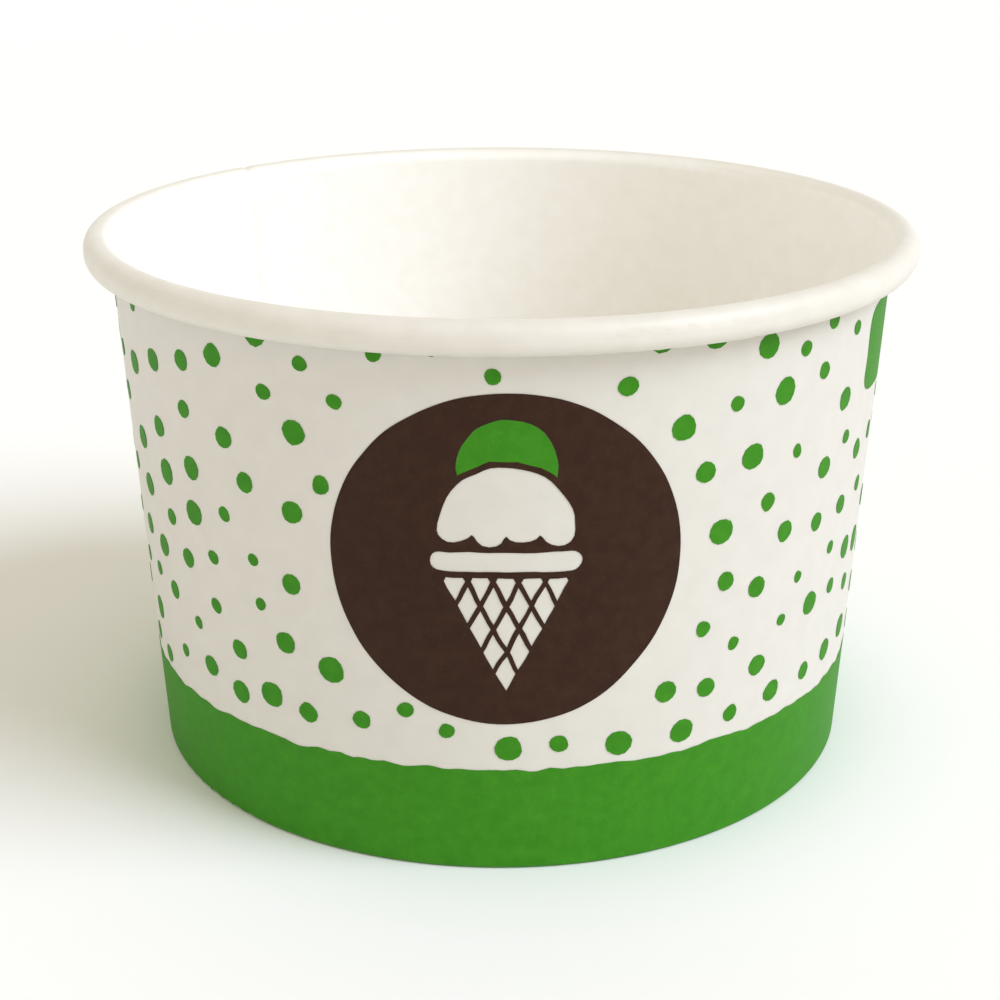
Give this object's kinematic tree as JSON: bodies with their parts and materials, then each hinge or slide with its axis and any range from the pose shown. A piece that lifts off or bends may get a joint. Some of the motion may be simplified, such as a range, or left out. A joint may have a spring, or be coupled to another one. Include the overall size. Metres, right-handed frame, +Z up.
{
  "type": "paper ice cream cup",
  "caption": "Round tapered paper cup for ice cream and cold desserts, with a printed side wall, a rolled rim, and a flat bottom set up above the table and held in the turned-in foot.",
  "frame": {"origin": "middle of the foot, on the surface that the cup stands on", "axes": "+Z up along the cup's own axis; -Y towards the middle of the printed front; +X to the right as seen from the front"},
  "size_m": [0.096, 0.096, 0.062],
  "materials": {
    "wall_board": "satin",
    "bottom_board": "satin",
    "green_ink": "satin",
    "brown_ink": "satin"
  },
  "bodies": {
    "root": {"side_wall": "wall_board", "bottom_disc": "bottom_board"}
  },
  "joints": []
}
